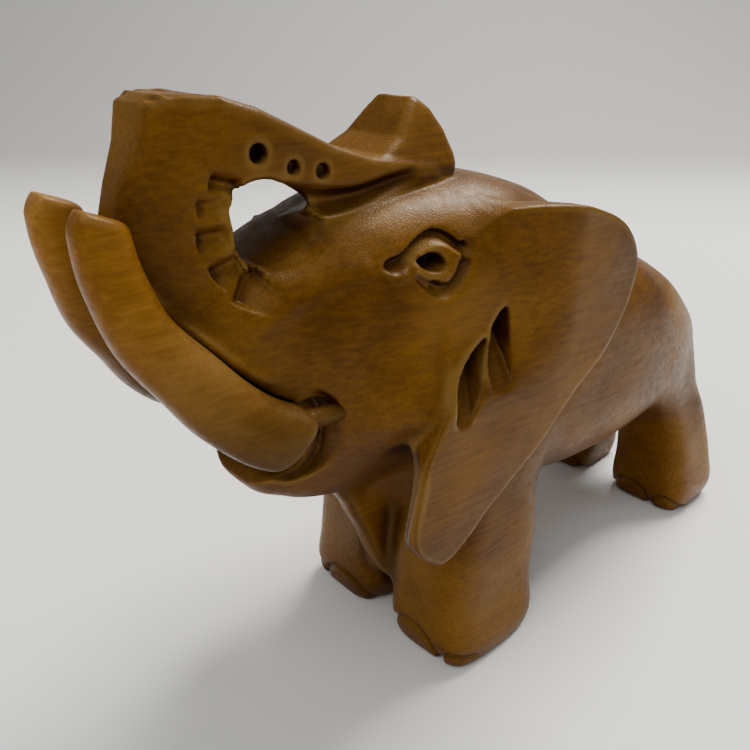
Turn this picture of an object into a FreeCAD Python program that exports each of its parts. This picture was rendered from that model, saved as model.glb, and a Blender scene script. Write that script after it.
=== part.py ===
"""Carved wooden elephant, trunk laid back over the forehead, on four stub legs.

One block of hardwood gives the body, legs, head, ears, trunk and tail.  The two
tusks are carved separately: each has a round tenon glued into a socket drilled in
the cheek and lies in a shallow bed along the side of the trunk.

Millimetres.  +Z is up, the elephant faces -Y and its left side is +X.  The origin
is on the table, under the middle of the outline.
"""
import FreeCAD, Part
import math
import os

V = FreeCAD.Vector

CLEAR_HEIGHT = 120         # above the highest point, for cutting tools

# ---- torso: (y, top z, bottom z, half width)
TORSO = [
    (-30, 66, 40, 8),
    (-24, 73, 34, 14),
    (-12, 78, 29, 19),
    (2, 80, 27, 21),
    (20, 77.5, 25, 22.5),
    (40, 71.5, 26, 22.5),
    (56, 62.5, 28, 20),
    (66, 53, 29, 16),
    (73, 43, 30, 9.5),
    (75.5, 37, 31.5, 4),
]
TORSO_POWER = 2.5          # 2 is an ellipse, higher is squarer

# ---- legs: (z, centre x, centre y, half size x, half size y)
FRONT_LEG = [
    (0, 12.8, -11.7, 9.6, 12.1),
    (4, 12.6, -11.8, 10.5, 13.0),
    (12, 11.8, -11.8, 10.4, 12.8),
    (24, 11.2, -11.1, 10.4, 12.7),
    (44, 10.0, -9.0, 8.6, 10.6),
]
REAR_LEG = [
    (0, 14.0, 66.4, 9.9, 9.5),
    (4, 14.2, 66.4, 10.6, 10.4),
    (12, 13.8, 65.8, 10.0, 9.7),
    (24, 12.4, 64.0, 8.8, 9.2),
    (40, 9.6, 58.0, 7.4, 9.0),
]
LEG_POWER = 4.0

# ---- chest keel that closes the gap between the front legs, smooth outline (y, z)
CHEST = [
    (-36, 44),
    (-33.6, 34),
    (-29.4, 25),
    (-25.6, 16),
    (-21, 12.5),
    (-10, 14),
    (0, 44),
]
CHEST_HALF_WIDTH = 3.7

# ---- head: (y, top z, bottom z, half width)
HEAD = [
    (-62, 80, 66, 8),
    (-56, 86, 50.5, 10.8),
    (-49, 88.8, 44.4, 13.6),
    (-41, 90.5, 41.4, 16.2),
    (-31, 91.8, 41, 18.6),
    (-21, 92.7, 43, 21.2),
    (-11, 93, 46, 22.4),
    (-1, 90.5, 49, 22),
    (10, 85, 54, 19),
]
HEAD_POWER = 3.2
JAW_NARROWING = 0.4        # how much the head narrows towards the jaw
JAW_START = 0.25           # share of the half height below the middle where that starts

# ---- trunk, side view (y, z, corner radius); it tapers towards its front face
TRUNK_OUTLINE = [
    (-71.4, 91.5, 2),
    (-66, 107.7, 3),
    (-57, 107.6, 6),
    (-38, 99, 6),
    (-24, 98, 1),
    (-24, 90, 1),
    (-42, 84, 3),
    (-42, 62, 3),
    (-57.5, 62, 4),
    (-66.6, 77, 12),
]
TRUNK_HALF_WIDTH = 8.8
TRUNK_FRONT_HALF_WIDTH = 3.4
TRUNK_TAPER_START_Y = -57
TRUNK_FRONT_Y = -72
TRUNK_EDGE_RADIUS = 0.9

# ---- upturned end of the trunk, resting on the forehead (y, z, corner radius)
TIP_OUTLINE = [
    (-34, 96.5, 1),
    (-29.5, 97.8, 2),
    (-24.2, 104.9, 1.5),
    (-21.6, 104.9, 1.5),
    (-15.6, 96.5, 2),
    (-16, 91, 1),
    (-34, 90, 1),
]
TIP_HALF_WIDTH_LOW = 8.6   # at TIP_LOW_Z
TIP_HALF_WIDTH_HIGH = 4.0  # at TIP_HIGH_Z
TIP_LOW_Z = 96
TIP_HIGH_Z = 104.5

# ---- see-through loop between trunk and forehead, smooth outline (y, z)
THROUGH = 40               # long enough to pass through head or trunk
LOOP_HOLE = [
    (-58.1, 92.6),
    (-57.3, 95.2),
    (-54.8, 97.0),
    (-50.9, 96.9),
    (-47.6, 95.0),
    (-44.6, 91.4),
    (-45.4, 89.0),
    (-50.6, 88.2),
    (-55.4, 88.4),
]
# a second cut went in at a slant from the left, so the right-hand opening is longer
LOOP_SLANT = [
    (-58.0, 92.2),
    (-57.3, 95.2),
    (-54.8, 97.0),
    (-50.9, 96.9),
    (-47.6, 95.0),
    (-45.4, 92.2),
    (-50.0, 90.4),
    (-55.0, 89.5),
]
LOOP_SLANT_START_X = 8.4
LOOP_SLANT_BACK = 0.8      # shift back for each mm of depth
LOOP_SLANT_DOWN = 0.12     # shift down for each mm of depth

# ---- wrinkle gouges round the front of the loop: (outer y, z, inner y, z)
GOUGES = [
    (-58.9, 97.3, -55.5, 96.0),
    (-60.9, 94.1, -56.5, 93.4),
    (-61.3, 90.8, -56.5, 90.3),
    (-59.5, 86.9, -54.8, 87.5),
    (-54.7, 81.5, -50.2, 85.0),
]
GOUGE_RADIUS = 1.3
GOUGE_DEPTH = 0.8

# ---- drilled dots on the side of the trunk: (y, z, radius)
DOTS = [
    (-52.9, 100.2, 1.2),
    (-47.6, 97.8, 0.8),
    (-42.5, 96.9, 0.9),
]
DOT_DEPTH = 3.0

# ---- ears: smooth outline (y, z) of a plate that flares outwards to the rear
EAR_OUTLINE = [
    (-20, 91.5),
    (-9, 89.6),
    (4.5, 86.3),
    (11.9, 77.5),
    (9.4, 68.3),
    (-3.2, 54.9),
    (-17.1, 42.9),
    (-29.4, 33.6),
    (-35, 35),
    (-38.5, 41),
    (-37, 50.2),
    (-33, 60),
    (-29, 67),
    (-24, 80),
]
EAR_THICKNESS = 4.6
EAR_EDGE_RADIUS = 1.2
EAR_FRONT_X = 22.2         # middle of the plate at EAR_FRONT_Y
EAR_FRONT_Y = -35
EAR_FLARE_DEG = 4.3

# ---- slots carved between cheek and ear, smooth outlines (y, z)
SLOTS = [
    [(-16.8, 74.3), (-16.3, 71), (-17.1, 65.1), (-20, 62.1), (-22.2, 63.1), (-21.3, 67)],
    [(-21.1, 70), (-27, 66.4), (-30, 62.7), (-30, 58.8), (-27, 59.2), (-23, 65.4)],
]
SLOT_FLOOR_X = 19.5

# ---- eye: an almond hollow with a deep pit in the middle
EYE_CENTRE = (18.4, -30.0, 83.2)
EYE_HALF_SIZES = (1.6, 4.6, 3.0)
PUPIL_RADIUS = 1.7
PUPIL_DEPTH = 3.2

# ---- mouth: hollow over the thin lower lip, smooth outline (y, z)
MOUTH = [
    (-72, 62),
    (-61, 58.6),
    (-53.6, 53),
    (-48.8, 53),
    (-48.6, 61),
    (-55, 61.5),
    (-66, 72),
]

# ---- toes: arched grooves (foot centre x offset, arch radius)
TOE_ARCHES = [(-2.5, 5.2), (6.4, 3.0)]
TOE_GROOVE_RADIUS = 0.8
TOE_SETBACK = 0.12         # how far an arch sits back for each mm it is off centre

# ---- tail in low relief down the rump: (y, z, radius)
TAIL = [
    (64.5, 53, 2.0),
    (71.0, 46, 2.0),
    (74.7, 38.5, 2.1),
    (75.6, 31, 2.1),
    (74.5, 24, 2.5),
]

# ---- tusks: centre line (x, y, z), half width across X, half thickness in side view
TUSK = [
    (14.6, -45.8, 62.6, 1.8, 1.7),
    (14.4, -48.4, 62.4, 2.4, 2.1),
    (14.2, -50.6, 61.4, 4.0, 4.0),
    (13.8, -53.4, 61.4, 4.6, 4.8),
    (12.6, -58, 63.8, 4.8, 5.0),
    (11.0, -62.7, 68.2, 4.6, 4.9),
    (9.4, -66.7, 73.6, 4.2, 4.5),
    (8.0, -71.0, 79.8, 3.6, 4.1),
    (7.0, -73.0, 86, 3.1, 3.8),
    (6.7, -73.6, 91, 2.8, 3.6),
    (6.7, -73.6, 97.5, 2.4, 3.4),
]
TUSK_CUT = [(-90, 96.4), (-76, 96.1), (-64, 91.5)]   # chisel-cut top, side view (y, z)
TUSK_ROOT_CUT = [(-64, 54.5), (-46, 66.2)]     # slanting cut under the root (y, z)
TENON_START = (14.9, -51.5, 64)            # inside the root
TENON_DIRECTION = (-0.14, 0.97, -0.19)
TENON_LENGTH = 17.0
TENON_RADIUS = 1.5
SOCKET_CLEARANCE = 0.1
TUSK_GAP = 0.25            # glue line between tusk and bed
ROOT_SCOOP = (16.5, -51.6, 60.0, 8.5, 5.2, 8.0)    # centre and half sizes

RING_POINTS = 20           # points on each lofted ring
TUSK_RING_POINTS = 12
FLAT = 1e-3                # a face thinner than this along X is a side face


def smooth_loop(points):
    """Closed smooth wire through the points."""
    curve = Part.BSplineCurve()
    curve.interpolate(Points=points, PeriodicFlag=True)
    return Part.Wire([curve.toShape()])


def squircle(half_a, half_b, power):
    """Points of a squared ellipse, anticlockwise."""
    points = []
    for i in range(RING_POINTS):
        angle = 2 * math.pi * i / RING_POINTS
        c = math.cos(angle)
        s = math.sin(angle)
        a = half_a * math.copysign(abs(c) ** (2 / power), c)
        b = half_b * math.copysign(abs(s) ** (2 / power), s)
        points.append((a, b))
    return points


def barrel(stations, power, narrowing=0.0):
    """Loft along Y through squared ellipses, narrower at the bottom if asked."""
    rings = []
    for y, top, bottom, half_width in stations:
        middle = (top + bottom) / 2
        half_height = (top - bottom) / 2
        points = []
        for x, z in squircle(half_width, half_height, power):
            drop = max(0.0, -z / half_height - JAW_START)
            points.append(V(x * (1 - narrowing * drop), y, middle + z))
        rings.append(smooth_loop(points))
    return Part.makeLoft(rings, True)


def leg(stations, side):
    """Loft up Z through squared ellipses; side is +1 left, -1 right."""
    rings = []
    for z, x, y, half_x, half_y in stations:
        ring = []
        for dx, dy in squircle(half_x, half_y, LEG_POWER):
            ring.append(V(side * x + dx, y + dy, z))
        rings.append(smooth_loop(ring))
    return Part.makeLoft(rings, True)


def rounded_outline(corners, x):
    """Closed wire in the plane at x, each corner (y, z, radius) rounded by an arc."""
    edges = []
    starts = []
    ends = []
    for i, (y, z, radius) in enumerate(corners):
        here = V(x, y, z)
        before = V(x, corners[i - 1][0], corners[i - 1][1])
        after_y, after_z, _ = corners[(i + 1) % len(corners)]
        after = V(x, after_y, after_z)
        to_before = (before - here).normalize()
        to_after = (after - here).normalize()
        half_angle = to_before.getAngle(to_after) / 2
        setback = radius / math.tan(half_angle)
        bisector = (to_before + to_after).normalize()
        centre = here + bisector * (radius / math.sin(half_angle))
        start = here + to_before * setback
        end = here + to_after * setback
        middle = centre - bisector * radius
        starts.append(start)
        ends.append(end)
        edges.append(Part.Arc(start, middle, end).toShape())
    wire_edges = []
    for i, arc in enumerate(edges):
        wire_edges.append(arc)
        next_start = starts[(i + 1) % len(starts)]
        wire_edges.append(Part.makeLine(ends[i], next_start))
    return Part.Wire(wire_edges)


def slab(wire, thickness):
    """Extrude a side-view wire along +X."""
    return Part.Face(wire).extrude(V(thickness, 0, 0))


def smooth_slab(outline, x, thickness):
    """Extrude a smooth side-view outline of (y, z) along +X."""
    return slab(smooth_loop([V(x, y, z) for y, z in outline]), thickness)


def prism(points, direction):
    """Extrude a straight-sided outline."""
    return Part.Face(Part.makePolygon(points + [points[0]])).extrude(direction)


def ellipsoid(centre, half_sizes):
    ball = Part.makeSphere(1.0)
    grow = FreeCAD.Matrix()
    grow.scale(V(*half_sizes))
    shape = ball.transformGeometry(grow)
    shape.translate(V(*centre))
    return shape


def soften(body, radius):
    """Round the edges of a slab's two side faces."""
    edges = []
    for face in body.Faces:
        if face.BoundBox.XLength < FLAT:
            edges += face.Edges
    return body.makeFillet(radius, edges)


def trunk():
    """Side profile extruded, then narrowed towards its front face."""
    body = slab(rounded_outline(TRUNK_OUTLINE, -TRUNK_HALF_WIDTH), 2 * TRUNK_HALF_WIDTH)
    body = soften(body, TRUNK_EDGE_RADIUS)
    wide = TRUNK_HALF_WIDTH
    thin = TRUNK_FRONT_HALF_WIDTH
    plan = [
        V(-wide, 0, 0),
        V(-wide, TRUNK_TAPER_START_Y, 0),
        V(-thin, TRUNK_FRONT_Y, 0),
        V(thin, TRUNK_FRONT_Y, 0),
        V(wide, TRUNK_TAPER_START_Y, 0),
        V(wide, 0, 0),
    ]
    return body.common(prism(plan, V(0, 0, CLEAR_HEIGHT)))


def trunk_tip():
    """Upturned end of the trunk, its sides leaning in towards the top."""
    body = slab(rounded_outline(TIP_OUTLINE, -TIP_HALF_WIDTH_LOW), 2 * TIP_HALF_WIDTH_LOW)
    low = TIP_HALF_WIDTH_LOW
    high = TIP_HALF_WIDTH_HIGH
    front = V(0, -THROUGH, 0)
    section = [
        front + V(-low, 0, 0),
        front + V(-low, 0, TIP_LOW_Z),
        front + V(-high, 0, TIP_HIGH_Z),
        front + V(high, 0, TIP_HIGH_Z),
        front + V(low, 0, TIP_LOW_Z),
        front + V(low, 0, 0),
    ]
    return body.common(prism(section, V(0, THROUGH, 0)))


def ear(side):
    """Flat plate turned about the vertical so that its rear edge stands out."""
    plate = smooth_slab(EAR_OUTLINE, EAR_FRONT_X - EAR_THICKNESS / 2, EAR_THICKNESS)
    plate = soften(plate, EAR_EDGE_RADIUS)
    plate.rotate(V(EAR_FRONT_X, EAR_FRONT_Y, 0), V(0, 0, 1), -EAR_FLARE_DEG)
    if side < 0:
        plate = plate.mirror(V(0, 0, 0), V(1, 0, 0))
    return plate


def tail():
    rings = []
    for i, (y, z, radius) in enumerate(TAIL):
        before = TAIL[max(i - 1, 0)]
        after = TAIL[min(i + 1, len(TAIL) - 1)]
        along = V(0, after[0] - before[0], after[1] - before[1])
        rings.append(Part.Wire([Part.makeCircle(radius, V(0, y, z), along)]))
    return Part.makeLoft(rings, True)


def tusk_blank(extra):
    """Tapering oval tusk of the left side, grown by extra all round."""
    across = V(1, 0, 0)
    rings = []
    for i, (x, y, z, half_width, half_thickness) in enumerate(TUSK):
        before = V(*TUSK[max(i - 1, 0)][:3])
        after = V(*TUSK[min(i + 1, len(TUSK) - 1)][:3])
        along = after - before
        along.x = 0
        along.normalize()
        outward = across.cross(along)
        centre = V(x, y, z)
        if i == 0:
            centre = centre - along * extra
        if i == len(TUSK) - 1:
            centre = centre + along * extra
        points = []
        for k in range(TUSK_RING_POINTS):
            angle = 2 * math.pi * k / TUSK_RING_POINTS
            reach_across = across * ((half_width + extra) * math.cos(angle))
            reach_outward = outward * ((half_thickness + extra) * math.sin(angle))
            points.append(centre + reach_across + reach_outward)
        rings.append(smooth_loop(points))
    return Part.makeLoft(rings, True)


def tenon(extra):
    """Round tenon of the left tusk, grown by extra."""
    along = V(*TENON_DIRECTION)
    along.normalize()
    return Part.makeCylinder(TENON_RADIUS + extra, TENON_LENGTH + extra, V(*TENON_START), along)


def gouge(outer_y, outer_z, inner_y, inner_z):
    """Round-bottomed gouge in the left face of the trunk, pointing at the loop."""
    x = TRUNK_HALF_WIDTH + GOUGE_RADIUS - GOUGE_DEPTH
    start = V(x, outer_y, outer_z)
    along = V(x, inner_y, inner_z) - start
    groove = Part.makeCylinder(GOUGE_RADIUS, along.Length, start, along)
    return groove.fuse(Part.makeSphere(GOUGE_RADIUS, start))


def toe_grooves(stations):
    """Arched grooves in the front face of a left foot."""
    _, foot_x, foot_y, half_x, half_y = stations[1]
    front_y = foot_y - half_y
    grooves = []
    for offset, radius in TOE_ARCHES:
        centre = V(foot_x + offset, front_y + abs(offset) * TOE_SETBACK, 0)
        grooves.append(Part.makeTorus(radius, TOE_GROOVE_RADIUS, centre, V(0, 1, 0)))
    return grooves


def left_cuts():
    """Everything carved or drilled into the left side."""
    cuts = [gouge(*row) for row in GOUGES]
    for y, z, radius in DOTS:
        start = V(TRUNK_HALF_WIDTH - DOT_DEPTH, y, z)
        cuts.append(Part.makeCylinder(radius, 2 * DOT_DEPTH, start, V(1, 0, 0)))
    for outline in SLOTS:
        cuts.append(smooth_slab(outline, SLOT_FLOOR_X, THROUGH))
    cuts.append(ellipsoid(EYE_CENTRE, EYE_HALF_SIZES))
    pupil_start = V(*EYE_CENTRE) - V(PUPIL_DEPTH, 0, 0)
    cuts.append(Part.makeCylinder(PUPIL_RADIUS, 2 * PUPIL_DEPTH, pupil_start, V(1, 0, 0)))
    cuts.append(ellipsoid(ROOT_SCOOP[:3], ROOT_SCOOP[3:]))
    cuts.append(tusk_blank(TUSK_GAP))
    cuts.append(tenon(SOCKET_CLEARANCE))
    cuts += toe_grooves(FRONT_LEG)
    cuts += toe_grooves(REAR_LEG)
    return cuts


def loop_cuts():
    """Straight hole through the loop, and the slanted one from the left face."""
    straight = smooth_slab(LOOP_HOLE, -THROUGH / 2, THROUGH)
    near_face = smooth_loop([V(LOOP_SLANT_START_X, y, z) for y, z in LOOP_SLANT])
    slant = V(-1, LOOP_SLANT_BACK, -LOOP_SLANT_DOWN) * (THROUGH / 2)
    return [straight, Part.Face(near_face).extrude(slant)]


def carved_block():
    block = barrel(TORSO, TORSO_POWER)
    chest = smooth_slab(CHEST, -CHEST_HALF_WIDTH, 2 * CHEST_HALF_WIDTH)
    head = barrel(HEAD, HEAD_POWER, JAW_NARROWING)
    mouth = smooth_slab(MOUTH, -THROUGH / 2, THROUGH)
    head = head.cut(mouth)
    lumps = [head, chest, trunk(), trunk_tip(), tail()]
    for side in (1, -1):
        lumps.append(leg(FRONT_LEG, side))
        lumps.append(leg(REAR_LEG, side))
        lumps.append(ear(side))
    for lump in lumps:
        block = block.fuse(lump)
    block = block.cut(loop_cuts())
    cuts = left_cuts()
    block = block.cut(cuts)
    block = block.cut([cut.mirror(V(0, 0, 0), V(1, 0, 0)) for cut in cuts])
    return block


def tusk():
    """Tusk with its chisel-cut top, its slanting root and its tenon."""
    above = [V(0, y, z) for y, z in TUSK_CUT]
    above.append(V(0, TUSK_CUT[-1][0], CLEAR_HEIGHT))
    above.append(V(0, TUSK_CUT[0][0], CLEAR_HEIGHT))
    below = [V(0, y, z) for y, z in TUSK_ROOT_CUT]
    below.append(V(0, TUSK_ROOT_CUT[-1][0] + THROUGH, 0))
    below.append(V(0, TUSK_ROOT_CUT[0][0], 0))
    across = V(THROUGH, 0, 0)
    body = tusk_blank(0).cut([prism(above, across), prism(below, across)])
    return body.fuse(tenon(0)).removeSplitter()


def export(name, shape):
    solid = shape.Solids[0]
    box = solid.optimalBoundingBox(True, False)
    print(name, "solids", len(shape.Solids), "valid", solid.isValid(),
          "volume", round(solid.Volume), "x %.2f %.2f" % (box.XMin, box.XMax),
          "y %.2f %.2f" % (box.YMin, box.YMax), "z %.2f %.2f" % (box.ZMin, box.ZMax))
    solid.exportStep("parts/" + name + ".step")


os.makedirs("parts", exist_ok=True)
left_tusk = tusk()
export("carved_block", carved_block())
export("tusk_left", left_tusk)
export("tusk_right", left_tusk.mirror(V(0, 0, 0), V(1, 0, 0)))
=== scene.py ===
"""Looks of the carved wooden elephant: one carved block and two set-in tusks.

Each piece is sculpted as a distance field on a grid in millimetres, in the frame of
the CAD model (+Z up, facing -Y, left side +X), meshed, and stretched to its CAD box.
The left half is sculpted and mirrored. Only the loop under the trunk, which opens
further back on the right, and a slow ripple make the halves differ.
"""
import math

import bpy
import numpy as np
import openvdb
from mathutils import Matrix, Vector


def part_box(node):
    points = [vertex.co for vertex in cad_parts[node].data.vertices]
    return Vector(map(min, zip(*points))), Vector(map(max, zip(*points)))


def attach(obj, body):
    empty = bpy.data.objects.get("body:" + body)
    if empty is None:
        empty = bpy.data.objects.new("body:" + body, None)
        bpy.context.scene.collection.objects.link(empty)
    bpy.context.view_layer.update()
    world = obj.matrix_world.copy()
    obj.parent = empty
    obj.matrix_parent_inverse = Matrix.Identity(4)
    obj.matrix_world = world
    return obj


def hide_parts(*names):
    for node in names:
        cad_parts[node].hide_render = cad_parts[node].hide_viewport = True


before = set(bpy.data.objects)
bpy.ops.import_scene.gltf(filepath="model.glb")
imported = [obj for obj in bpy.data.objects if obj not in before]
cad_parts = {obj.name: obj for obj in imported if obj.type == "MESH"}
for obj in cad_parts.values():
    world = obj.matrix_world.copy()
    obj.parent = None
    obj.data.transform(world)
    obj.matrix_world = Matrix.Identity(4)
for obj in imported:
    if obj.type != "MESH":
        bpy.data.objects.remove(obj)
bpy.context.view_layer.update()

# ==== sculpt: tools ====================================================

VOXEL = 0.38               # grid pitch, mm


def curve_through(xs, ys, q):
    """Smooth curve through (xs, ys), read at q."""
    xs = np.asarray(xs, float)
    ys = np.asarray(ys, float)
    slope = np.gradient(ys, xs)
    t = np.linspace(xs[0], xs[-1], 400)
    i = np.clip(np.searchsorted(xs, t, side="right") - 1, 0, len(xs) - 2)
    h = xs[i + 1] - xs[i]
    s = (t - xs[i]) / h
    value = (2 * s**3 - 3 * s**2 + 1) * ys[i] + (s**3 - 2 * s**2 + s) * h * slope[i]
    value += (3 * s**2 - 2 * s**3) * ys[i + 1] + (s**3 - s**2) * h * slope[i + 1]
    return np.interp(q, t, value).astype(np.float32)


def join(a, b, blend):
    """Union with a soft inside corner."""
    h = np.maximum(blend - np.abs(a - b), 0) / blend
    return np.minimum(a, b) - h * h * (blend * 0.25)


def carve(a, b, blend):
    """a with b cut away, the rim softened."""
    return -join(-a, b, blend)


def clip(a, b, blend):
    """The part of a inside b."""
    return -join(-a, -b, blend)


def ease(t):
    """Smooth step from 0 at t = 0 to 1 at t = 1."""
    t = np.clip(t, 0, 1)
    return t * t * (3 - 2 * t)


def squircle(u, v, half_u, half_v, power):
    """Distance, roughly, to a squared ellipse."""
    pu = np.abs(u) / half_u
    pv = np.abs(v) / half_v
    k = (pu**power + pv**power + 1e-12) ** (1 / power)
    grad = np.sqrt((pu ** (power - 1) / half_u) ** 2 + (pv ** (power - 1) / half_v) ** 2)
    grad = grad / np.maximum(k ** (power - 1), 1e-9)
    return ((k - 1) / np.maximum(grad, 1e-6)).astype(np.float32)


def ellipsoid(x, y, z, centre, half):
    px = (x - centre[0]) / half[0]
    py = (y - centre[1]) / half[1]
    pz = (z - centre[2]) / half[2]
    k = np.sqrt(px * px + py * py + pz * pz)
    grad = np.sqrt((px / half[0]) ** 2 + (py / half[1]) ** 2 + (pz / half[2]) ** 2)
    return k * (k - 1) / (grad + 1e-6)


def rounded(points, steps=5):
    """Closed smooth outline through the points."""
    p = np.asarray(points, float)
    before = np.roll(p, 1, 0)
    after = np.roll(p, -1, 0)
    after2 = np.roll(p, -2, 0)
    rows = []
    for s in np.arange(steps) / steps:
        rows.append(0.5 * (2 * p + (after - before) * s
                           + (2 * before - 5 * p + 4 * after - after2) * s * s
                           + (3 * p - before - 3 * after + after2) * s**3))
    return np.stack(rows, 1).reshape(-1, 2)


def outline(u, v, points):
    """Signed distance to a closed outline, negative inside."""
    best = np.full(np.broadcast(u, v).shape, 1e9)
    inside = np.zeros(best.shape, bool)
    for a, b in zip(points, np.roll(points, -1, 0)):
        e = b - a
        t = np.clip(((u - a[0]) * e[0] + (v - a[1]) * e[1]) / (e @ e), 0, 1)
        best = np.minimum(best, (u - a[0] - e[0] * t) ** 2 + (v - a[1] - e[1] * t) ** 2)
        rise = e[1] if e[1] else 1e-9
        crossing = a[0] + (v - a[1]) / rise * e[0]
        inside ^= ((a[1] <= v) != (b[1] <= v)) & (u < crossing)
    return (np.sqrt(best) * np.where(inside, -1, 1)).astype(np.float32)


def stroke(u, v, points):
    """(distance to an open line, share of the way along it, which side)."""
    p = np.asarray(points, float)
    run = np.concatenate([[0], np.cumsum(np.hypot(*np.diff(p, axis=0).T))])
    best = np.full(np.broadcast(u, v).shape, 1e9)
    along = np.zeros(best.shape)
    side = np.ones(best.shape)
    for i in range(len(p) - 1):
        e = p[i + 1] - p[i]
        t = np.clip(((u - p[i, 0]) * e[0] + (v - p[i, 1]) * e[1]) / (e @ e), 0, 1)
        du = u - p[i, 0] - e[0] * t
        dv = v - p[i, 1] - e[1] * t
        d = du * du + dv * dv
        near = d < best
        best = np.where(near, d, best)
        along = np.where(near, (run[i] + t * (run[i + 1] - run[i])) / run[-1], along)
        side = np.where(near, np.sign(e[0] * dv - e[1] * du), side)
    return np.sqrt(best), along, side


def locally(d, x, y, z, y_range, z_range, change):
    """Apply change(d, x, y, z) to the part of the grid inside the two ranges only."""
    ys = y[0, :, 0]
    zs = z[0, 0, :]
    j = slice(*np.searchsorted(ys, y_range))
    k = slice(*np.searchsorted(zs, z_range))
    d[:, j, k] = change(d[:, j, k], x, y[:, j], z[:, :, k])
    return d


def smooth_line(points, steps=10):
    """Open smooth line through the points (any number of columns)."""
    p = np.asarray(points, float)
    k = np.arange(len(p))
    q = np.linspace(0, len(p) - 1, (len(p) - 1) * steps + 1)
    return np.stack([curve_through(k, p[:, j], q) for j in range(p.shape[1])], 1)


# ==== sculpt: driving sizes, mm ========================================

# (y, top z, bottom z, half width)
TORSO = [
    (-30, 66, 40, 8),
    (-24, 73, 34, 14),
    (-12, 78, 29, 19),
    (2, 80, 27, 21),
    (20, 77.5, 25, 22.5),
    (40, 71.5, 26, 22.5),
    (56, 62.5, 28, 20),
    (66, 53, 29, 16),
    (73, 43, 30, 9.5),
    (76, 36, 31, 4),
]
HEAD = [
    (-62, 80, 66, 8),
    (-56, 83.7, 49.7, 10.8),
    (-49, 86.7, 43.8, 13.6),
    (-41, 89.5, 41.4, 16.2),
    (-31, 91.8, 41, 18.6),
    (-21, 92.7, 43, 21.2),
    (-11, 93, 46, 22.4),
    (-1, 90.5, 49, 22),
    (10, 85, 54, 19),
]
HEAD_POWER = 3.2
JAW_NARROWING = 0.4
# (z, centre x, centre y, half size x, half size y)
FRONT_LEG = [
    (0, 12.8, -11.7, 9.6, 12.1),
    (4, 12.6, -11.8, 10.5, 13.0),
    (12, 11.8, -11.8, 10.4, 12.8),
    (24, 11.2, -11.0, 10.4, 12.8),
    (44, 10.0, -9.0, 8.6, 10.6),
]
REAR_LEG = [
    (0, 14.0, 66.4, 9.9, 9.5),
    (4, 14.2, 66.4, 10.6, 10.4),
    (12, 13.8, 65.8, 10.0, 9.7),
    (24, 12.4, 64.0, 8.8, 9.2),
    (40, 9.6, 58.0, 7.4, 9.0),
]
# side views, (y, z)
CHEST = [
    (-36, 44), (-33.6, 34), (-29.4, 25), (-25.6, 16), (-22, 12), (-10, 12), (0, 44),
]
TRUNK = [
    (-71.2, 91.5), (-69.0, 97.2), (-66.6, 101.7), (-65.4, 106.4), (-63.8, 107.6),
    (-57, 107.2), (-52, 105.7), (-46, 102.7), (-40, 99.9), (-33, 97.6), (-26, 96.2),
    (-20, 95), (-18, 92.5), (-24, 90.5), (-40, 88), (-44, 78), (-44, 62), (-57, 62),
    (-62, 68.5), (-66.6, 78), (-69.6, 86),
]
TRUNK_HALF_WIDTH = 8.8
TRUNK_TAPER = 6.4                  # half width lost at the front
TRUNK_TAPER_START = -57            # y
TRUNK_TAPER_LENGTH = 14
TIP = [
    (-35, 97.0), (-30, 97.3), (-26.0, 99.6), (-23.1, 103.0), (-21.2, 105.0), (-19.9, 104.9),
    (-17.6, 103.2), (-15.6, 100.0), (-14.8, 96.4), (-15, 93.6), (-17, 91.6),
    (-24, 90.8), (-33, 91.4),
]
TIP_HALF_WIDTH = 8.6
TIP_TAPER = 0.44                   # half width lost per mm of height
TIP_TAPER_START = 95.0             # z
TIP_TAPER_HEIGHT = 12
# see-through loop, (y, z): the straight hole, and the one slanting back to the right
HOLE = [
    (-57.2, 92.4), (-56.4, 94.9), (-54.2, 96.5), (-50.9, 96.5), (-47.8, 94.7),
    (-44.8, 91.9), (-43.2, 89.8), (-45.5, 86.6), (-50.6, 84.6), (-55.4, 86.6),
]
HOLE_SLANT = [
    (-57.2, 92.2), (-56.4, 94.9), (-54.2, 96.5), (-50.9, 96.5), (-47.8, 94.7),
    (-45.4, 92.2), (-50.0, 90.4), (-55.0, 89.5),
]
HOLE_SKEW_START = 8.4
HOLE_SKEW = (0.8, -0.12)           # shift of the right-hand opening, per mm of depth
EAR = [
    (-18, 88.5), (-11, 90.0), (-5, 89.4), (-1.6, 88.6), (4.5, 86.3), (9, 82.6), (11.9, 77.5),
    (11.3, 72.5), (9.4, 68.3), (6.8, 64.1), (2.2, 59.4), (-3.2, 54.9), (-7.8, 50.4),
    (-12.5, 46.4), (-17.1, 42.9), (-21.7, 39.8), (-25.7, 36.5), (-29.4, 33.6),
    (-32.2, 33.0), (-35, 35), (-37.4, 37.8), (-38.5, 41), (-38, 45.1), (-37, 50.2),
    (-35.9, 54.3), (-33, 60), (-29, 67), (-24, 80),
]
EAR_FACE = (24.5, -35, 0.0745)     # outer face: x at y, and its flare
EAR_THICKNESS = 4.6
EAR_LEAN = 7.5                     # how far the upper front of the ear leans in to the head
SLOTS = [
    [(-16.8, 74.3), (-16.3, 72.3), (-16.6, 67.6), (-17.1, 65.1), (-18.1, 62.8), (-20.0, 62.1),
     (-22.2, 63.1), (-21.7, 66.0), (-20.0, 69.7), (-19.2, 71.7)],
    [(-21.1, 70.0), (-26.7, 66.5), (-28.7, 64.8), (-29.8, 62.7), (-30.4, 59.1), (-28.5, 58.2),
     (-25.7, 61.3), (-23.0, 65.4), (-21.2, 68.4)],
]
SLOT_FOOT_X = 25.0                 # floor of a slot at its lower end
SLOT_SLOPE = 0.85                  # how fast the floor deepens upwards
CHEEK = (4.2, -33.0, 8.0, 60.5, 8.5)   # swelling: height, centre and reach in y, in z
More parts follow.
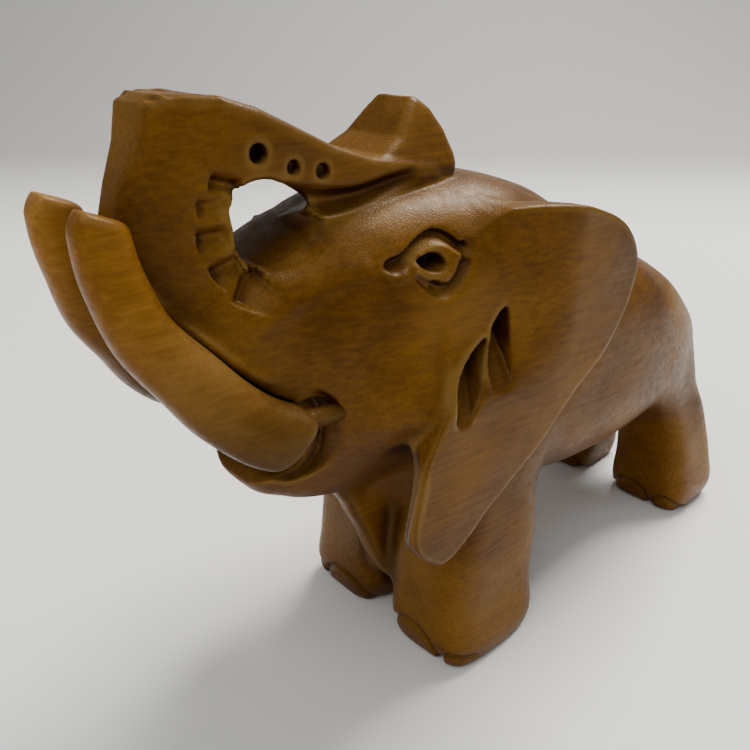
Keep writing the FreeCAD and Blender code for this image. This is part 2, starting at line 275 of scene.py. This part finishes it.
# hollow down the front edge of the ear: (x, y, z, half width, half thickness)
EAR_HOLLOW = [
    (20.8, -36.4, 55.5, 1.0, 1.2), (20.8, -37.4, 51.0, 2.0, 2.6), (20.6, -38.8, 45.0, 2.1, 3.2),
    (20.4, -39.0, 39.5, 1.7, 2.4), (20.2, -37.4, 35.6, 0.9, 1.2),
]
# mouth: hollow over the thin lower lip, and the scoop round each tusk's root
MOUTH = [
    (-72, 54), (-61, 48), (-57, 48), (-55.2, 50.2), (-53.4, 51.6), (-51, 51.8), (-48.8, 53),
    (-47.6, 57), (-48.6, 61), (-55, 61.5), (-66, 72),
]
ROOT_POCKET = [
    (-46.0, 63.3), (-45.4, 60.5), (-45.2, 57.4), (-46.8, 53.0), (-51.5, 50.6), (-58.5, 55.0),
    (-57, 61), (-51.5, 65.5), (-48, 65.5),
]
POCKET_FLOOR = (8.0, 0.35)         # x of the floor at the tusk, and its rise towards the cheek
# (x, y, z, half width across x, half thickness)
TUSK = [
    (14.6, -45.8, 62.6, 1.7, 1.3),
    (14.4, -48.4, 62.4, 2.4, 1.9),
    (14.2, -50.6, 61.4, 4.0, 4.0),
    (13.8, -53.4, 61.4, 4.6, 4.8),
    (12.6, -58, 63.8, 4.8, 5.0),
    (11.0, -62.7, 68.2, 4.6, 4.9),
    (9.4, -66.7, 73.6, 4.2, 4.5),
    (8.0, -71.0, 79.8, 3.6, 4.1),
    (7.0, -73.0, 86, 3.1, 3.8),
    (6.7, -74.0, 91, 2.8, 3.6),
    (6.7, -74.3, 97.5, 2.4, 3.4),
]
TENON = ((14.9, -51.3, 64.0), (12.7, -36.2, 61.0), 1.5)    # ends and radius
TUSK_GAP = 0.15                    # glue line between tusk and bed, mm
TUSK_TOP = (-76.0, 96.3, 0.42, 1.1)    # chisel cut: highest (y, z), slopes behind and before
TUSK_ROOT = (-57.2, 58.7, 0.92)    # slanting cut under the root: (y, z) on it, and its slope

# carved lines on each side, all (y, z); a cut is (points, depth, steep side, gentle side)
BROW = (
    [(-36.4, 83.2), (-34.6, 83.8), (-33, 84.3), (-31, 85.5), (-28.5, 86.6), (-26.6, 86.7),
     (-25.1, 85.8), (-24, 84.7), (-22.2, 85.2)],
    1.5, 0.6, 0.9)
LOWER_LID = (
    [(-22.3, 85), (-23.8, 82.6), (-25.2, 80.6), (-26.3, 79.5), (-28, 79.2), (-29.9, 80.4)],
    1.15, 0.8, 0.6)
EYE_RIM = (
    [(-32.4, 81.8), (-31, 80), (-29, 78.4), (-27.3, 78.0), (-25.6, 78.9), (-24.4, 80.6),
     (-23, 83)],
    0.8, 1.3, 0.45)
EYE_PIT = [(-31.5, 83.5), (-29.8, 84.3), (-28.2, 84.2), (-27.1, 83), (-27.9, 81.8), (-30.2, 82.1)]
EYE_FLOOR_X = 13.8
EYE_FROM_X = 11                    # the eye's lines lie on the side of the head, beyond this
EYE_CORNER = ((15.2, -35.0, 83.4), (1.2, 1.8, 0.8))
LIDS = [
    ([(-31.8, 84), (-30.2, 84.9), (-28.6, 85.4), (-26.8, 85.0), (-25.3, 83.9), (-24, 83.8)], 0.45),
    ([(-32.2, 83.2), (-31.5, 82), (-30.2, 81.2), (-28.5, 80.9), (-27.2, 81.5)], 0.4),
    ([(-36.9, 83.0), (-36.2, 81.9), (-35, 81.6), (-33.4, 82.2)], 0.35),
]
WRINKLES = [
    ([(-59.4, 97.3), (-55.4, 96.0)], 1.6, 1.1, 1.3),
    ([(-61.2, 94.0), (-57.4, 94.5)], 1.2, 1.0, 1.5),
    ([(-61.5, 89.9), (-57.6, 90.4)], 1.7, 1.2, 1.9),
    ([(-60.0, 84.9), (-58.4, 85.7), (-56.0, 86.7)], 1.9, 1.3, 2.2),
    ([(-57.2, 80.6), (-56.2, 82.3), (-55, 83.6), (-53.0, 84.6)], 2.0, 1.3, 2.4),
    ([(-53, 85.2), (-51.4, 85.8), (-49.4, 85.8)], 0.4, 0.5, 1.0),
]
DOTS = [                           # (y, z, radius, x of the floor)
    (-52.8, 100.1, 1.25, 6.0), (-47.4, 97.8, 0.85, 7.4), (-42.4, 96.7, 0.95, 7.6),
]
NICKS = [(-64.3, 107.2, 0.8), (-62.3, 107.5, 0.6), (-58.9, 107.2, 0.7)]    # y, z, half length
NICK_X = 4.6
NICK_HALF_WIDTH = 1.8
NICK_DEPTH = 0.45
MARKS_FROM_X = 3                   # the trunk's lines lie on its sides, beyond this
# hollow under the limb that lies on the forehead: (x, y, z, half width, half thickness)
UNDERCUT = [
    (9.6, -48.2, 94.4, 2.0, 1.5), (9.6, -45, 93.0, 3.0, 2.1), (9.6, -41, 92.3, 3.4, 2.1),
    (9.6, -36, 92.4, 3.0, 1.8), (9.5, -31, 93.2, 2.1, 1.5), (9.2, -25.5, 94.2, 1.0, 0.9),
]
# raised lines, written as the cuts are: under the wrinkles, and beside the tusk
CHEEK_RIDGE = ([(-56, 77.6), (-50, 80.6), (-43.5, 82.8), (-38, 83.4)], 0.5, 2.0, 1.6)
LEDGE = (
    [(-73.2, 92.4), (-71.6, 89.9), (-69.4, 85.6), (-66.6, 81.3), (-62.6, 76.6), (-58.2, 72.1),
     (-54.6, 69.2)],
    1.0, 1.1, 1.1)
# scoop over each tusk's neck, then the tail: (x, y, z, half width, half thickness)
ROOT_SLOT = [
    (17, -50.6, 67.6, 3.2, 0.8), (17, -49.0, 66.2, 3.8, 1.4), (17, -47.4, 64.6, 3.8, 1.5),
    (17, -46.0, 62.8, 3.4, 1.0),
]
TAIL = [
    (0, 61, 57.5, 1.8, 1.4), (0, 68.0, 49.5, 2.2, 2.0), (0, 73.3, 42, 2.3, 2.1),
    (0, 75.3, 35, 2.3, 2.1), (0, 75.3, 28, 2.6, 2.3), (0, 74.2, 23.5, 2.2, 2.0),
]
TOE_LINE_WIDTH = 0.6
FRONT_TOE_DEPTH = 0.8
REAR_TOE_DEPTH = 0.7
# toes: (foot front y, arch centre x, half width, height)
FRONT_TOES = [(-24.2, 10.6, 6.6, 6.6), (-23.0, 20.4, 2.8, 4.0)]
REAR_TOES = [(56.4, 11.0, 5.4, 5.2), (57.4, 20.4, 3.2, 4.0)]

# how softly the lumps run into each other, mm
CHEST_HALF_WIDTH = 2.5
CHEST_BLEND = 3
LEG_BLEND = 7
HEAD_BLEND = 4
EAR_BLEND = 2.5
TAIL_BLEND = 2.5

# ==== sculpt: shapes ===================================================


def barrel(x, y, z, rows, power, narrowing=0.0):
    ys, top, bottom, half = np.array(rows, float).T
    upper = curve_through(ys, top, y)
    lower = curve_through(ys, bottom, y)
    width = curve_through(ys, half, y)
    middle = (upper + lower) / 2
    height = np.maximum((upper - lower) / 2, 1)
    drop = np.clip((middle - z) / height - 0.25, 0, 1)
    d = squircle(x / (1 - narrowing * drop), z - middle, width, height, power)
    return clip(d, np.maximum(ys[0] - y, y - ys[-1]) + 0 * d, 4)


def leg(x, y, z, rows):
    zs, cx, cy, hx, hy = np.array(rows, float).T
    d = squircle(x - curve_through(zs, cx, z), y - curve_through(zs, cy, z),
                 curve_through(zs, hx, z), curve_through(zs, hy, z), 4.4)
    d = clip(d, -z + 0 * d, 1.6)
    return clip(d, z - zs[-1] + 0 * d, 6)


def trunk(x, y, z):
    side = outline(y, z, np.array(TRUNK, float))
    front = np.clip((TRUNK_TAPER_START - y) / TRUNK_TAPER_LENGTH, 0, 1)
    width = TRUNK_HALF_WIDTH - TRUNK_TAPER * front
    return clip(side + 0 * x, (x - width) * 0.93 + 0 * z, 1.6)


def tip(x, y, z):
    side = outline(y, z, np.array(TIP, float))
    width = TIP_HALF_WIDTH - TIP_TAPER * np.clip(z - TIP_TAPER_START, 0, TIP_TAPER_HEIGHT)
    return clip(side + 0 * x, (x - width) * 0.9 + 0 * y, 1.2)


def loop(d, x, y, z):
    """See-through loop; on the right side it opens out further back."""
    opening = outline(y, z, rounded(HOLE, 3)) + 0 * x
    depth = np.maximum(HOLE_SKEW_START - x, 0)
    for share in (0.35, 0.7, 1.0):
        y_back = y - share * HOLE_SKEW[0] * depth
        z_back = z - share * HOLE_SKEW[1] * depth
        opening = np.minimum(opening, outline(y_back, z_back, rounded(HOLE_SLANT, 2)))
    forehead = barrel(np.abs(x), y, z, HEAD, HEAD_POWER, JAW_NARROWING)
    opening = np.maximum(opening, -forehead)
    return carve(d, opening, 0.8 + 1.6 * np.clip((91 - z) / 3, 0, 1))


def ear(x, y, z):
    side = outline(y, z, rounded(EAR, 3))
    face = EAR_FACE[0] + EAR_FACE[2] * (y - EAR_FACE[1])
    face = face - EAR_LEAN * ease((z - 60) / 16) * ease((-4 - y) / 20)
    middle = face - EAR_THICKNESS / 2
    return clip(side + 0 * x, np.abs(x - middle) - EAR_THICKNESS / 2 + 0 * z, 0.7)


def slots(x, y, z):
    """Tapering gouges between cheek and ear, deep at the top."""
    d = np.float32(99)
    for points in SLOTS:
        foot_z = min(p[1] for p in points)
        floor = SLOT_FOOT_X - SLOT_SLOPE * (z - foot_z)
        side = outline(y, z, rounded(points, 3))
        d = np.minimum(d, np.maximum(side + 0 * x, floor - x + 0 * y))
    return d


def sweep(x, y, z, rows, power):
    """Tapering bar along a line; widths are across x and in the side plane."""
    p = smooth_line(rows)
    best = np.full(np.broadcast(y, z).shape, 1e9)
    cx = np.zeros(best.shape)
    wide = np.ones(best.shape)
    thick = np.ones(best.shape)
    for a, b in zip(p[:-1], p[1:]):
        e = b[1:3] - a[1:3]
        t = np.clip(((y - a[1]) * e[0] + (z - a[2]) * e[1]) / (e @ e), 0, 1)
        d = (y - a[1] - e[0] * t) ** 2 + (z - a[2] - e[1] * t) ** 2
        near = d < best
        best = np.where(near, d, best)
        cx = np.where(near, a[0] + (b[0] - a[0]) * t, cx)
        wide = np.where(near, a[3] + (b[3] - a[3]) * t, wide)
        thick = np.where(near, a[4] + (b[4] - a[4]) * t, thick)
    return squircle(x - cx, np.sqrt(best), wide, thick, power)


def cut(y, z, points, depth, steep, gentle):
    """Depth of a carved line: steep above it, gently sloping below it."""
    distance, along, side = stroke(y, z, smooth_line(points))
    width = np.where(side > 0, steep, gentle)
    ends = ease(np.minimum(along, 1 - along) / 0.12 + 0.25)
    return depth * np.exp(-(distance / width) ** 2) * ends


def eye(d, x, y, z):
    lines = cut(y, z, *BROW) + cut(y, z, *LOWER_LID) + cut(y, z, *EYE_RIM)
    for points, height in LIDS:
        lines = lines - cut(y, z, points, height, 0.6, 0.6)
    d = d + lines * ease((x - EYE_FROM_X) / 2)
    pit = np.maximum(outline(y, z, rounded(EYE_PIT, 3)) + 0 * x, EYE_FLOOR_X - x + 0 * y)
    d = carve(d, pit, 0.7)
    return carve(d, ellipsoid(x, y, z, *EYE_CORNER), 0.8)


def trunk_marks(d, x, y, z):
    """Wrinkles round the loop, drilled dots, nicks and the undercut of the limb."""
    lines = 0
    for wrinkle in WRINKLES:
        lines = lines + cut(y, z, *wrinkle)
    lines = lines - cut(y, z, *CHEEK_RIDGE)
    lines = lines - cut(y, z, *LEDGE)
    d = d + lines * ease((x - MARKS_FROM_X) / 2)
    for dot_y, dot_z, radius, floor_x in DOTS:
        hole = np.hypot(y - dot_y, z - dot_z) - radius
        d = carve(d, np.maximum(hole + 0 * x, floor_x - x + 0 * y), 0.5)
    for nick_y, nick_z, length in NICKS:
        half = (NICK_HALF_WIDTH, length, NICK_DEPTH)
        d = carve(d, ellipsoid(x, y, z, (NICK_X, nick_y, nick_z), half), 0.4)
    return carve(d, sweep(x, y, z, UNDERCUT, 2.0), 0.8)


def toes(d, x, y, z):
    """Arched grooves on the feet."""
    for front, middle, half, height in FRONT_TOES:
        arch = np.abs(squircle(x - middle, z, half, height, 2.2))
        near = ease((front + 6 - y) / 3)
        d = d + FRONT_TOE_DEPTH * np.exp(-(arch / TOE_LINE_WIDTH) ** 2) * near
    for front, middle, half, height in REAR_TOES:
        arch = np.abs(squircle(x - middle, z, half, height, 2.2))
        near = ease((front + 6 - y) / 3) * ease((y - front + 8) / 3)
        d = d + REAR_TOE_DEPTH * np.exp(-(arch / TOE_LINE_WIDTH) ** 2) * near
    return d


def rod(x, y, z, start, end, radius):
    start = np.array(start)
    run = np.array(end) - start
    t = ((x - start[0]) * run[0] + (y - start[1]) * run[1] + (z - start[2]) * run[2])
    t = np.clip(t / (run @ run), 0, 1)
    return np.sqrt((x - start[0] - run[0] * t) ** 2 + (y - start[1] - run[1] * t) ** 2
                   + (z - start[2] - run[2] * t) ** 2) - radius


def tusk_horn(x, y, z):
    """The left tusk without its tenon."""
    d = sweep(x, y, z, TUSK, 2.5)
    top_y, top_z, behind, before = TUSK_TOP
    top = z - top_z + np.maximum(behind * (y - top_y), before * (top_y - y))
    d = clip(d, top + 0 * d, 1.2)
    root_y, root_z, slope = TUSK_ROOT
    below = (slope * (y - root_y) - (z - root_z)) / math.hypot(slope, 1)
    return clip(d, below + 0 * d, 0.8)


def tusk(x, y, z):
    """The left tusk with its tenon."""
    return np.minimum(tusk_horn(x, y, z), rod(x, y, z, *TENON))


def mouth(x, y, z):
    floor = POCKET_FLOOR[0] + POCKET_FLOOR[1] * np.clip(y + 51, 0, 5)
    pocket = np.maximum(outline(y, z, rounded(ROOT_POCKET, 3)), floor - x)
    return join(outline(y, z, rounded(MOUTH, 3)) + 0 * x, pocket, 0.6)


def block(x, y, z):
    """The whole carved block without the tusk beds; both sides alike but for the loop."""
    half = np.abs(x)
    d = barrel(half, y, z, TORSO, 2.5)
    chest = outline(y, z, rounded(CHEST, 3))
    keel = clip(chest + 0 * x, half - CHEST_HALF_WIDTH + 0 * y, 2)
    d = join(d, join(leg(half, y, z, FRONT_LEG), keel, CHEST_BLEND), LEG_BLEND)
    d = join(d, leg(half, y, z, REAR_LEG), LEG_BLEND)
    head = barrel(half, y, z, HEAD, HEAD_POWER, JAW_NARROWING)
    rise, cheek_y, reach_y, cheek_z, reach_z = CHEEK
    swelling = np.exp(-((y - cheek_y) / reach_y) ** 2 - ((z - cheek_z) / reach_z) ** 2)
    head = head - rise * swelling
    head = locally(head, half, y, z, (-76, -40), (48, 76),
                   lambda d, x, y, z: carve(d, mouth(x, y, z), 0.5))
    # the trunk grows softly out of the face, but lies crisply on the forehead
    soft = 0.8 + 4.2 * np.clip(-(y + 45) / 6, 0, 1)
    head = join(head, trunk(half, y, z), soft)
    head = join(head, tip(half, y, z), 0.8)
    head = locally(head, half, y, z, (-76, -20), (64, 110), trunk_marks)
    head = locally(head, half, y, z, (-42, -17), (72, 92), eye)
    head = locally(head, x, y, z, (-62, -26), (82, 100), loop)
    d = join(d, head, HEAD_BLEND)
    d = join(d, ear(half, y, z), EAR_BLEND)
    d = locally(d, half, y, z, (-44, -28), (32, 58),
                lambda d, x, y, z: carve(d, sweep(x, y, z, EAR_HOLLOW, 2.0), 0.5))
    d = locally(d, half, y, z, (-34, -12), (54, 78),
                lambda d, x, y, z: carve(d, slots(x, y, z), 0.8))
    d = locally(d, half, y, z, (-56, -43), (58, 74),
                lambda d, x, y, z: carve(d, sweep(x, y, z, ROOT_SLOT, 4), 0.5))
    d = locally(d, half, y, z, (54, 80), (16, 64),
                lambda d, x, y, z: join(d, sweep(x, y, z, TAIL, 2.0), TAIL_BLEND))
    return locally(d, half, y, z, (-30, 66), (-3, 12), toes)


# ==== end of sculpt =====================================================

# ---- meshing

HOLLOW_REACH = 2.4         # mm
EDGE_REACH = 1.2           # mm


def ripple(x, y, z):
    """Slow unevenness left by the knife, mm."""
    waves = [
        (0.045, (0.31, 0.19, 0.23), 0.3),
        (0.040, (-0.27, 0.33, 0.12), 1.9),
        (0.040, (0.11, -0.24, 0.37), 4.1),
        (0.030, (0.47, 0.29, -0.31), 2.2),
        (0.022, (-0.61, 0.52, 0.44), 5.0),
    ]
    total = 0
    for height, (kx, ky, kz), phase in waves:
        total = total + height * np.sin(kx * x + ky * y + kz * z + phase)
    return total


def read_grid(grid, low, points):
    """Value of a grid between its samples, at points in mm."""
    at = (points - low) / VOXEL
    corner = np.clip(np.floor(at).astype(int), 0, np.array(grid.shape) - 2)
    part = np.clip(at - corner, 0, 1)
    total = 0
    for step in np.ndindex(2, 2, 2):
        share = np.prod(np.where(step, part, 1 - part), axis=1)
        i, j, k = (corner + step).T
        total = total + share * grid[i, j, k]
    return total


def shade_masks(mesh, grid, low, points):
    """Vertex values for the painted shade in hollows and the pale edges: how hollow, and how sharp
    an edge, each spot is.
    """
    slopes = []
    for axis in range(3):
        reach = np.zeros(3)
        reach[axis] = VOXEL
        ahead = read_grid(grid, low, points + reach)
        slopes.append(ahead - read_grid(grid, low, points - reach))
    normal = np.stack(slopes, 1)
    normal = normal / (np.linalg.norm(normal, axis=1)[:, None] + 1e-9)
    outside = read_grid(grid, low, points + normal * HOLLOW_REACH)
    inside = read_grid(grid, low, points - normal * EDGE_REACH)
    for name, value in (
        ("hollow", 1 - outside / HOLLOW_REACH),
        ("edge", 1 + inside / EDGE_REACH),
    ):
        layer = mesh.attributes.new(name, "FLOAT", "POINT")
        layer.data.foreach_set("value", np.clip(value, 0, 1).astype(np.float32))


def sculpted(name, field, low, high, node):
    """Mesh of a field's zero surface, stretched to the CAD node's box, in metres."""
    counts = [int((b - a) / VOXEL) + 1 for a, b in zip(low, high)]
    axes = [a + VOXEL * np.arange(n, dtype=np.float32) for a, n in zip(low, counts)]
    x = axes[0][:, None, None]
    y = axes[1][None, :, None]
    z = axes[2][None, None, :]
    d = field(x, y, z) + ripple(x, y, z)
    band = np.clip(d, -3 * VOXEL, 3 * VOXEL).astype(np.float32)
    grid = openvdb.FloatGrid(3 * VOXEL)
    grid.copyFromArray(band, tolerance=1e-4)
    index_points, quads = grid.convertToQuads(isovalue=0.0)
    sculpt_points = index_points.astype(np.float64) * VOXEL + np.array(low, float)
    share = sculpt_points - sculpt_points.min(0)
    share = share / share.max(0)
    corner_low, corner_high = (np.array(c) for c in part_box(node))
    points = corner_low + share * (corner_high - corner_low)
    mesh = bpy.data.meshes.new(name)
    mesh.from_pydata(points.tolist(), [], quads[:, ::-1].tolist())
    mesh.update()
    mesh.shade_smooth()
    shade_masks(mesh, d, np.array(low, float), sculpt_points)
    piece = bpy.data.objects.new(name, mesh)
    bpy.context.collection.objects.link(piece)
    return piece


def right_tusk(x, y, z):
    return tusk(-x, y, z)


def carved_block(x, y, z):
    """The block with a bed cut for each tusk."""
    d = block(x, y, z)
    return locally(d, np.abs(x), y, z, (-84, -30), (50, 104),
                   lambda d, x, y, z: carve(d, tusk_horn(x, y, z) - TUSK_GAP, 0.3))


# ---- materials


def material(name):
    made = bpy.data.materials.new(name)
    made.use_nodes = True
    nodes = made.node_tree.nodes
    return made, nodes, made.node_tree.links, nodes["Principled BSDF"]


def noise(nodes, links, vector, scale, detail, roughness=0.5):
    made = nodes.new("ShaderNodeTexNoise")
    made.inputs["Scale"].default_value = scale
    made.inputs["Detail"].default_value = detail
    made.inputs["Roughness"].default_value = roughness
    links.new(vector, made.inputs["Vector"])
    return made.outputs["Fac"]


def remap(nodes, links, value, low, high, to_low=0.0, to_high=1.0):
    made = nodes.new("ShaderNodeMapRange")
    made.inputs["From Min"].default_value = low
    made.inputs["From Max"].default_value = high
    made.inputs["To Min"].default_value = to_low
    made.inputs["To Max"].default_value = to_high
    links.new(value, made.inputs["Value"])
    return made.outputs["Result"]


def combine(nodes, links, operation, a, b):
    """Maths on two values, each a socket or a number."""
    made = nodes.new("ShaderNodeMath")
    made.operation = operation
    for socket, value in zip(made.inputs, (a, b)):
        if isinstance(value, (int, float)):
            socket.default_value = value
        else:
            links.new(value, socket)
    return made.outputs["Value"]


def blend(nodes, links, kind, share, a, b):
    """Mix two colours, each a socket or an (r, g, b)."""
    made = nodes.new("ShaderNodeMix")
    made.data_type = "RGBA"
    made.blend_type = kind
    if isinstance(share, (int, float)):
        made.inputs["Factor"].default_value = share
    else:
        links.new(share, made.inputs["Factor"])
    for socket, value in ((made.inputs[6], a), (made.inputs[7], b)):
        if isinstance(value, tuple):
            socket.default_value = (*value, 1)
        else:
            links.new(value, socket)
    return made.outputs[2]


def mask(nodes, links, name, low, high):
    """A vertex value of the mesh, remapped to 0..1."""
    made = nodes.new("ShaderNodeAttribute")
    made.attribute_name = name
    return remap(nodes, links, made.outputs["Fac"], low, high)


TUSK_SHADE_HEIGHTS = (0.089, 0.062)    # m above the floor: no shade, full shade


def wood(name, dark, mid, light, highlight_and_wear, low_shade=1.0):
    """Stained and lacquered hardwood, the grain running along the elephant's length.

    The colour is multiplied by low_shade at the root of a tusk, fading upwards.
    """
    made, nodes, links, shader = material(name)
    place = nodes.new("ShaderNodeTexCoord").outputs["Object"]
    stretch = nodes.new("ShaderNodeMapping")
    stretch.inputs["Scale"].default_value = (1, 0.07, 1)
    links.new(place, stretch.inputs["Vector"])
    along = stretch.outputs["Vector"]

    streaks = noise(nodes, links, along, 1400, 4, 0.6)
    patches = noise(nodes, links, place, 45, 3)
    tone = combine(nodes, links, "ADD", combine(nodes, links, "MULTIPLY", streaks, 0.4),
                   combine(nodes, links, "MULTIPLY", patches, 0.6))
    ramp = nodes.new("ShaderNodeValToRGB")
    ramp.color_ramp.elements[0].position = 0.37
    ramp.color_ramp.elements[0].color = (*dark, 1)
    ramp.color_ramp.elements[1].position = 0.65
    ramp.color_ramp.elements[1].color = (*light, 1)
    middle = ramp.color_ramp.elements.new(0.5)
    middle.color = (*mid, 1)
    links.new(tone, ramp.inputs["Fac"])
    colour = ramp.outputs["Color"]

    # finely crackled lacquer; a painted highlight, in patches, lightens it where the surface faces
    # up
    facing = nodes.new("ShaderNodeSeparateXYZ")
    links.new(nodes.new("ShaderNodeNewGeometry").outputs["Normal"], facing.inputs["Vector"])
    upward = remap(nodes, links, facing.outputs["Z"], -0.1, 0.85, 0.2, 1.0)
    crackle = nodes.new("ShaderNodeTexVoronoi")
    crackle.feature = "DISTANCE_TO_EDGE"
    crackle.inputs["Scale"].default_value = 1700
    links.new(place, crackle.inputs["Vector"])
    cells = remap(nodes, links, crackle.outputs["Distance"], 0.0, 0.3, 0.35, 1.0)
    speckle = noise(nodes, links, place, 700, 2)
    highlight_patches = remap(nodes, links, patches, 0.37, 0.63, 0.08, 0.64)
    top_highlight = combine(nodes, links, "MULTIPLY", upward,
                   combine(nodes, links, "MULTIPLY", cells, highlight_patches))
    colour = blend(nodes, links, "MIX", top_highlight, colour, highlight_and_wear)

    # pale edges: part wear, part painted highlight
    edge = combine(nodes, links, "MULTIPLY", mask(nodes, links, "edge", 0.13, 0.5), 0.6)
    colour = blend(nodes, links, "MIX", edge, colour, highlight_and_wear)
    # painted shade in the cuts, less where they face up to the light
    open_to_light = remap(nodes, links, facing.outputs["Z"], 0.2, 0.75, 1.0, 0.25)
    hollow = combine(nodes, links, "MULTIPLY", mask(nodes, links, "hollow", 0.06, 0.55),
                     open_to_light)
    colour = blend(nodes, links, "MULTIPLY", hollow, colour, (0.22, 0.12, 0.06))
    # painted shade, darker on faces that look down
    underside_shade = remap(nodes, links, facing.outputs["Z"], 0.1, -0.75)
    colour = blend(nodes, links, "MULTIPLY", underside_shade, colour, (0.55, 0.45, 0.32))
    if low_shade < 1:
        height = nodes.new("ShaderNodeSeparateXYZ")
        links.new(place, height.inputs["Vector"])
        low = remap(nodes, links, height.outputs["Z"], *TUSK_SHADE_HEIGHTS)
        colour = blend(nodes, links, "MULTIPLY", low, colour, (low_shade,) * 3)
    links.new(colour, shader.inputs["Base Color"])

    rough = remap(nodes, links, speckle, 0.3, 0.7, 0.33, 0.5)
    links.new(rough, shader.inputs["Roughness"])
    shader.inputs["Specular IOR Level"].default_value = 0.17
    shader.inputs["Specular Tint"].default_value = (1.0, 0.78, 0.45, 1)
    shader.inputs["Coat Weight"].default_value = 0.02
    shader.inputs["Coat Roughness"].default_value = 0.2

    relief = combine(nodes, links, "ADD", combine(nodes, links, "MULTIPLY", streaks, 0.5),
                     combine(nodes, links, "MULTIPLY", cells, upward))
    bump = nodes.new("ShaderNodeBump")
    bump.inputs["Strength"].default_value = 0.28
    bump.inputs["Distance"].default_value = 0.00012
    links.new(relief, bump.inputs["Height"])
    links.new(bump.outputs["Normal"], shader.inputs["Normal"])
    return made


def paper(name, near, far):
    """Matt backdrop paper, falling into shade where it curves up."""
    made, nodes, links, shader = material(name)
    place = nodes.new("ShaderNodeSeparateXYZ")
    links.new(nodes.new("ShaderNodeTexCoord").outputs["Object"], place.inputs["Vector"])
    depth = remap(nodes, links, place.outputs["Y"], 0.3, 0.6)
    links.new(blend(nodes, links, "MIX", depth, near, far), shader.inputs["Base Color"])
    shader.inputs["Roughness"].default_value = 0.7
    return made


# ---- the object

block_piece = sculpted("Carved_block", carved_block, (-30, -76, -2), (30, 80, 110),
                       "carved_block")
left_piece = sculpted("Left_tusk", tusk, (1, -82, 52), (22, -31, 100), "tusk_left")
right_piece = sculpted("Right_tusk", right_tusk, (-22, -82, 52), (-1, -31, 100), "tusk_right")
body_wood = wood("Body wood", (0.068, 0.022, 0.0), (0.116, 0.042, 0.001),
                 (0.176, 0.072, 0.002), (0.215, 0.117, 0.024))
tusk_wood = wood("Tusk wood", (0.160, 0.062, 0.003), (0.245, 0.102, 0.009),
                 (0.33, 0.153, 0.026), (0.35, 0.200, 0.065), low_shade=0.32)
for piece, node, coat, slot_name in (
    (block_piece, "carved_block", body_wood, "body_wood"),
    (left_piece, "tusk_left", tusk_wood, "tusk_wood"),
    (right_piece, "tusk_right", tusk_wood, "tusk_wood"),
):
    piece.data.materials.append(coat)
    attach(piece, "root")
    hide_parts(node)

# ---- floor, light and camera

VIEW_TURN = math.radians(48)       # the camera looks this far round from +Y towards -X
FLOOR_NEAR = -2.0                  # m, along the view from the object
FLOOR_FLAT = 0.55                  # m, from the object to where the backdrop starts to rise
SWEEP_RADIUS = 0.5
BACKDROP_TOP = 2.5
BACKDROP_HALF_WIDTH = 6.0
floor_mesh = bpy.data.meshes.new("Floor")
rows = []
for distance in np.linspace(FLOOR_NEAR, FLOOR_FLAT, 12):
    rows.append((distance, 0.0))
for turn in np.linspace(0, math.pi / 2, 24)[1:]:
    distance = FLOOR_FLAT + SWEEP_RADIUS * math.sin(turn)
    rows.append((distance, SWEEP_RADIUS * (1 - math.cos(turn))))
rows.append((FLOOR_FLAT + SWEEP_RADIUS, BACKDROP_TOP))
sides = (-BACKDROP_HALF_WIDTH, BACKDROP_HALF_WIDTH)
verts = [(side, d, h) for d, h in rows for side in sides]
faces = [(2 * i, 2 * i + 1, 2 * i + 3, 2 * i + 2) for i in range(len(rows) - 1)]
floor_mesh.from_pydata(verts, [], faces)
floor_mesh.shade_smooth()
floor = bpy.data.objects.new("Floor", floor_mesh)
bpy.context.collection.objects.link(floor)
floor.rotation_euler = (0, 0, VIEW_TURN)
floor.data.materials.append(paper("Paper", (0.97, 0.96, 0.92), (0.50, 0.49, 0.475)))


def lamp(name, place, target, size, watts, colour):
    data = bpy.data.lights.new(name, "AREA")
    data.shape = "RECTANGLE"
    data.size = size[0]
    data.size_y = size[1]
    data.energy = watts
    data.color = colour
    made = bpy.data.objects.new(name, data)
    bpy.context.collection.objects.link(made)
    made.location = place
    aim = Vector(target) - Vector(place)
    made.rotation_euler = aim.to_track_quat("-Z", "Y").to_euler()
    return made


# directions as the camera sees them, along the table and up
BACK = np.array((-math.sin(VIEW_TURN), math.cos(VIEW_TURN), 0.0))
RIGHT = np.array((math.cos(VIEW_TURN), math.sin(VIEW_TURN), 0.0))
UP = np.array((0.0, 0.0, 1.0))
TARGET = (0, 0, 0.04)
lamp("Key", BACK * 0.40 + RIGHT * 0.35 + UP * 0.85, TARGET, (0.5, 0.35), 14, (1.0, 0.98, 0.95))
lamp("Fill", BACK * -0.5 - RIGHT * 0.35 + UP * 0.8, TARGET, (0.6, 0.6), 3, (1.0, 0.99, 0.97))

world = bpy.data.worlds.new("Room")
bpy.context.scene.world = world
world.use_nodes = True
background = world.node_tree.nodes["Background"]
background.inputs["Color"].default_value = (0.85, 0.87, 0.9, 1)
background.inputs["Strength"].default_value = 0.42

camera_data = bpy.data.cameras.new("Camera")
camera_data.sensor_width = 36      # mm; with this lens the view is 53 degrees wide
camera_data.lens = 36
camera_data.clip_start = 0.005
camera = bpy.data.objects.new("Camera", camera_data)
bpy.context.collection.objects.link(camera)
camera.location = (0.0914, -0.1075, 0.115)
camera.rotation_euler = (math.radians(65), 0, VIEW_TURN)
bpy.context.scene.camera = camera
